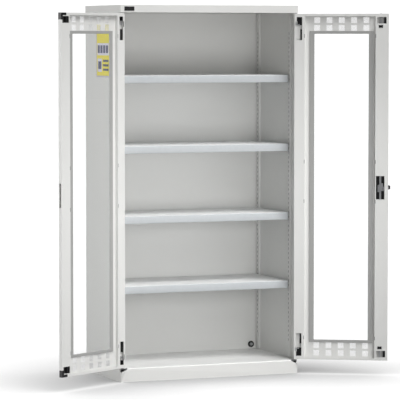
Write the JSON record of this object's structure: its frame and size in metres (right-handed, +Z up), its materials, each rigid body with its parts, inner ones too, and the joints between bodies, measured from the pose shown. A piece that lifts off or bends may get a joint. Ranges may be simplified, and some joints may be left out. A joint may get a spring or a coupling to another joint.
{
  "type": "chemical safety cabinet",
  "caption": "Tall sheet-steel chemical storage cabinet with two glazed vented doors on pin hinges, rod lock with latch, slotted posts and adjustable zinc-coated shelves.",
  "frame": {"origin": "middle of the body footprint, on the floor", "axes": "+Z up, +X to the right seen from the front, +Y from the doors towards the back panel"},
  "size_m": [1.9056, 0.8125, 2],
  "materials": {
    "grey_paint": "light grey fine-textured powder coat on sheet steel",
    "galvanised_sheet": "smooth zinc-coated sheet, faint rolling grain",
    "zinc_plate": "bright zinc plate",
    "clear_pane": "clear polished pane",
    "glazing_rubber": "matt grey glazing strip",
    "black_plastic": "moulded black plastic",
    "nickel": "satin nickel plate"
  },
  "bodies": {
    "cabinet": {"back_panel": "grey_paint", "base_tray": "grey_paint", "earth_bolt": "zinc_plate", "earth_ring": "black_plastic", "floor_rail": "grey_paint", "hinge_bushes": "black_plastic", "left_front_post": "grey_paint", "left_rear_post": "grey_paint", "left_side_panel": "grey_paint", "lower_hinge_plates": "zinc_plate", "right_front_post": "grey_paint", "right_rear_post": "grey_paint", "right_side_panel": "grey_paint", "rod_keepers": "black_plastic", "shelf_1": "galvanised_sheet", "shelf_2": "galvanised_sheet", "shelf_3": "galvanised_sheet", "shelf_4": "galvanised_sheet", "shelf_clips": "zinc_plate", "top_cap": "grey_paint"},
    "left_door": {"left_door_skin": "grey_paint", "left_hinge_stiffener": "grey_paint", "left_lock_stiffener": "grey_paint", "left_window_pane": "clear_pane", "left_glazing_frame": "glazing_rubber", "left_corner_blocks": "black_plastic", "left_pin_guides": "black_plastic"},
    "right_door": {"right_door_skin": "grey_paint", "right_hinge_stiffener": "grey_paint", "right_lock_stiffener": "grey_paint", "right_window_pane": "clear_pane", "right_glazing_frame": "glazing_rubber", "right_pin_guides": "black_plastic", "lock_case": "black_plastic", "rod_guides": "black_plastic", "handle_plate": "black_plastic"},
    "left_upper_pin": {"left_upper_hinge_pin": "zinc_plate"},
    "left_lower_pin": {"left_lower_hinge_pin": "zinc_plate"},
    "right_upper_pin": {"right_upper_hinge_pin": "zinc_plate"},
    "right_lower_pin": {"right_lower_hinge_pin": "zinc_plate"},
    "handle": {"handle_lever": "black_plastic", "spindle": "zinc_plate", "lock_cam": "zinc_plate"},
    "key": {"key_cylinder": "nickel"},
    "top_rod": {"top_rod": "zinc_plate"},
    "bottom_rod": {"bottom_rod": "zinc_plate"},
    "latch": {"latch_bar": "zinc_plate"}
  },
  "joints": [
    {"name": "left_door_swing", "type": "hinge", "parent": "cabinet", "child": "left_door", "pos_m": [-0.5035, -0.2715, 0], "axis": [0, 0, 1], "range_deg": [-30, 150]},
    {"name": "right_door_swing", "type": "hinge", "parent": "cabinet", "child": "right_door", "pos_m": [0.5035, -0.2715, 0], "axis": [0, 0, 1], "range_deg": [-150, 30]},
    {"name": "left_upper_pin_slide", "type": "slide", "parent": "left_door", "child": "left_upper_pin", "axis": [0, 0, -1], "range_m": [0, 0.013]},
    {"name": "left_lower_pin_slide", "type": "slide", "parent": "left_door", "child": "left_lower_pin", "axis": [0, 0, 1], "range_m": [0, 0.013]},
    {"name": "right_upper_pin_slide", "type": "slide", "parent": "right_door", "child": "right_upper_pin", "axis": [0, 0, -1], "range_m": [0, 0.013]},
    {"name": "right_lower_pin_slide", "type": "slide", "parent": "right_door", "child": "right_lower_pin", "axis": [0, 0, 1], "range_m": [0, 0.013]},
    {"name": "handle_turn", "type": "hinge", "parent": "right_door", "child": "handle", "pos_m": [0.90401, -0.4958, 1.017], "axis": [-0.5, -0.866, 0], "range_deg": [0, 90]},
    {"name": "key_turn", "type": "hinge", "parent": "handle", "child": "key", "pos_m": [0.90401, -0.4958, 1.017], "axis": [-0.5, -0.866, 0], "range_deg": [0, 90]},
    {"name": "top_rod_throw", "type": "slide", "parent": "right_door", "child": "top_rod", "axis": [0, 0, 1], "range_m": [0, 0.01415]},
    {"name": "bottom_rod_throw", "type": "slide", "parent": "right_door", "child": "bottom_rod", "axis": [0, 0, -1], "range_m": [0, 0.01415]},
    {"name": "latch_throw", "type": "slide", "parent": "right_door", "child": "latch", "axis": [0.866, -0.5, 0], "range_m": [0, 0.01415]}
  ],
  "couplings": [
    {"joint": "top_rod_throw", "follows": "handle_turn", "m_per_rad": 0.0090032},
    {"joint": "bottom_rod_throw", "follows": "handle_turn", "m_per_rad": 0.0090032},
    {"joint": "latch_throw", "follows": "handle_turn", "m_per_rad": 0.0090032}
  ]
}
